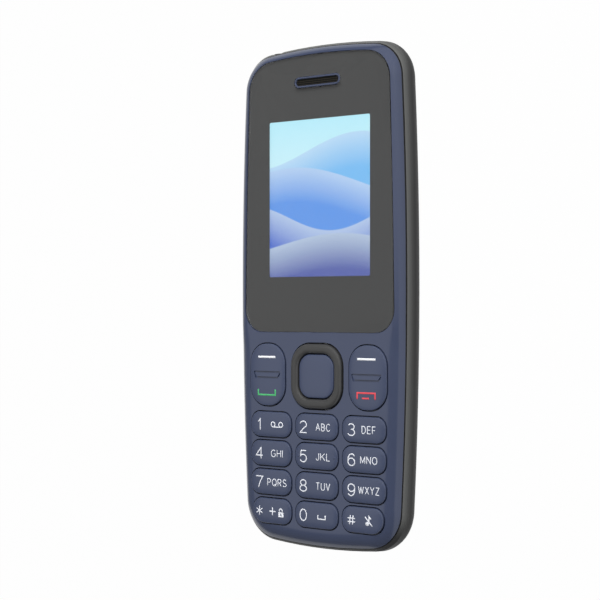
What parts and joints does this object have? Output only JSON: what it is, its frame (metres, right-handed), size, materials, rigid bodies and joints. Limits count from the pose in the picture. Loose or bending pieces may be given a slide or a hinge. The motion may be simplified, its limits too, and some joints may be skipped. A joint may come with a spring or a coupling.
{
  "type": "feature phone",
  "caption": "Slim bar phone with a small colour screen, two-way soft keys, a navigation ring and a numeric keypad; the back cover comes off for the battery.",
  "frame": {"origin": "middle of the phone's footprint on its flat back, which lies at Z = 0", "axes": "+Z out of the front face with the screen and keys, +Y towards the earpiece end, +X the right side seen from the front"},
  "size_m": [0.0472, 0.1125, 0.0136],
  "materials": {
    "blue_shell": "satin",
    "blue_cover": "fine weave",
    "blue_key": "satin",
    "dark_frame": "satin",
    "ring_grey": "satin",
    "mask_print": "matte",
    "clear_lens": "polished",
    "dark_mesh": "woven",
    "black_plastic": "matte",
    "screen_film": "lit picture",
    "panel_glass": "polished",
    "white_plastic": "matte",
    "flex_foil": "satin",
    "clear_rubber": "matte",
    "dome_film": "satin",
    "board_green": "solder mask",
    "tin_plate": "satin",
    "battery_wrap": "printed wrap",
    "dark_glass": "polished",
    "screw_steel": "blackened"
  },
  "bodies": {
    "phone": {"front_housing": "blue_shell", "earpiece_rim": "blue_shell", "rear_housing": "dark_frame", "lens_mask": "mask_print", "display_lens": "clear_lens", "earpiece_mesh": "dark_mesh", "speaker_mesh": "dark_mesh", "earpiece_receiver": "black_plastic", "display_panel": "screen_film", "display_glass": "panel_glass", "display_backlight": "white_plastic", "display_flex": "flex_foil", "keypad_mat": "clear_rubber", "dome_film": "dome_film", "main_board": "board_green", "shield_can": "tin_plate", "sim_socket_left": "tin_plate", "sim_socket_right": "tin_plate", "card_socket": "tin_plate", "battery_contacts": "black_plastic", "camera_module": "black_plastic", "loudspeaker": "black_plastic", "audio_jack": "black_plastic", "usb_port": "tin_plate", "vibration_motor": "tin_plate", "microphone": "tin_plate", "housing_screw_1": "screw_steel", "housing_screw_2": "screw_steel", "housing_screw_3": "screw_steel", "housing_screw_4": "screw_steel"},
    "cover": {"back_cover": "blue_cover", "camera_window": "dark_glass"},
    "battery": {"battery": "battery_wrap"},
    "key_1": {"key_1": "blue_key"},
    "key_2": {"key_2": "blue_key"},
    "key_3": {"key_3": "blue_key"},
    "key_4": {"key_4": "blue_key"},
    "key_5": {"key_5": "blue_key"},
    "key_6": {"key_6": "blue_key"},
    "key_7": {"key_7": "blue_key"},
    "key_8": {"key_8": "blue_key"},
    "key_9": {"key_9": "blue_key"},
    "key_star": {"key_star": "blue_key"},
    "key_0": {"key_0": "blue_key"},
    "key_hash": {"key_hash": "blue_key"},
    "ok_key": {"ok_key": "blue_key"},
    "call_key": {"call_key": "blue_key"},
    "end_key": {"end_key": "blue_key"},
    "nav_carrier": {"nav_carrier": "clear_rubber"},
    "nav_ring": {"nav_ring": "ring_grey"}
  },
  "joints": [
    {"name": "battery_lift", "type": "slide", "parent": "phone", "child": "battery", "axis": [0, 0, -1], "range_m": [0, 0.008]},
    {"name": "cover_lift", "type": "slide", "parent": "phone", "child": "cover", "axis": [0, 0, -1], "range_m": [0, 0.016]},
    {"name": "key_1_press", "type": "slide", "parent": "phone", "child": "key_1", "axis": [0, 0, -1], "range_m": [0, 0.0003], "stiffness_N_per_m": 2000},
    {"name": "key_2_press", "type": "slide", "parent": "phone", "child": "key_2", "axis": [0, 0, -1], "range_m": [0, 0.0003], "stiffness_N_per_m": 2000},
    {"name": "key_3_press", "type": "slide", "parent": "phone", "child": "key_3", "axis": [0, 0, -1], "range_m": [0, 0.0003], "stiffness_N_per_m": 2000},
    {"name": "key_4_press", "type": "slide", "parent": "phone", "child": "key_4", "axis": [0, 0, -1], "range_m": [0, 0.0003], "stiffness_N_per_m": 2000},
    {"name": "key_5_press", "type": "slide", "parent": "phone", "child": "key_5", "axis": [0, 0, -1], "range_m": [0, 0.0003], "stiffness_N_per_m": 2000},
    {"name": "key_6_press", "type": "slide", "parent": "phone", "child": "key_6", "axis": [0, 0, -1], "range_m": [0, 0.0003], "stiffness_N_per_m": 2000},
    {"name": "key_7_press", "type": "slide", "parent": "phone", "child": "key_7", "axis": [0, 0, -1], "range_m": [0, 0.0003], "stiffness_N_per_m": 2000},
    {"name": "key_8_press", "type": "slide", "parent": "phone", "child": "key_8", "axis": [0, 0, -1], "range_m": [0, 0.0003], "stiffness_N_per_m": 2000},
    {"name": "key_9_press", "type": "slide", "parent": "phone", "child": "key_9", "axis": [0, 0, -1], "range_m": [0, 0.0003], "stiffness_N_per_m": 2000},
    {"name": "key_star_press", "type": "slide", "parent": "phone", "child": "key_star", "axis": [0, 0, -1], "range_m": [0, 0.0003], "stiffness_N_per_m": 2000},
    {"name": "key_0_press", "type": "slide", "parent": "phone", "child": "key_0", "axis": [0, 0, -1], "range_m": [0, 0.0003], "stiffness_N_per_m": 2000},
    {"name": "key_hash_press", "type": "slide", "parent": "phone", "child": "key_hash", "axis": [0, 0, -1], "range_m": [0, 0.0003], "stiffness_N_per_m": 2000},
    {"name": "ok_key_press", "type": "slide", "parent": "phone", "child": "ok_key", "axis": [0, 0, -1], "range_m": [0, 0.0003], "stiffness_N_per_m": 2000},
    {"name": "call_key_rock", "type": "hinge", "parent": "phone", "child": "call_key", "pos_m": [-0.01395, -0.0176, 0.01105], "axis": [1, 0, 0], "range_deg": [-2.5, 2.5], "stiffness_Nm_per_rad": 0.2},
    {"name": "end_key_rock", "type": "hinge", "parent": "phone", "child": "end_key", "pos_m": [0.01395, -0.0176, 0.01105], "axis": [1, 0, 0], "range_deg": [-2.5, 2.5], "stiffness_Nm_per_rad": 0.2},
    {"name": "nav_tilt_up_down", "type": "hinge", "parent": "phone", "child": "nav_carrier", "pos_m": [0, -0.01765, 0.0106], "axis": [1, 0, 0], "range_deg": [-2, 2], "stiffness_Nm_per_rad": 0.3},
    {"name": "nav_tilt_left_right", "type": "hinge", "parent": "nav_carrier", "child": "nav_ring", "pos_m": [0, -0.01765, 0.0106], "axis": [0, 1, 0], "range_deg": [-2, 2], "stiffness_Nm_per_rad": 0.3}
  ],
  "couplings": [
    {"joint": "cover_lift", "follows": "battery_lift", "ratio": 2}
  ]
}
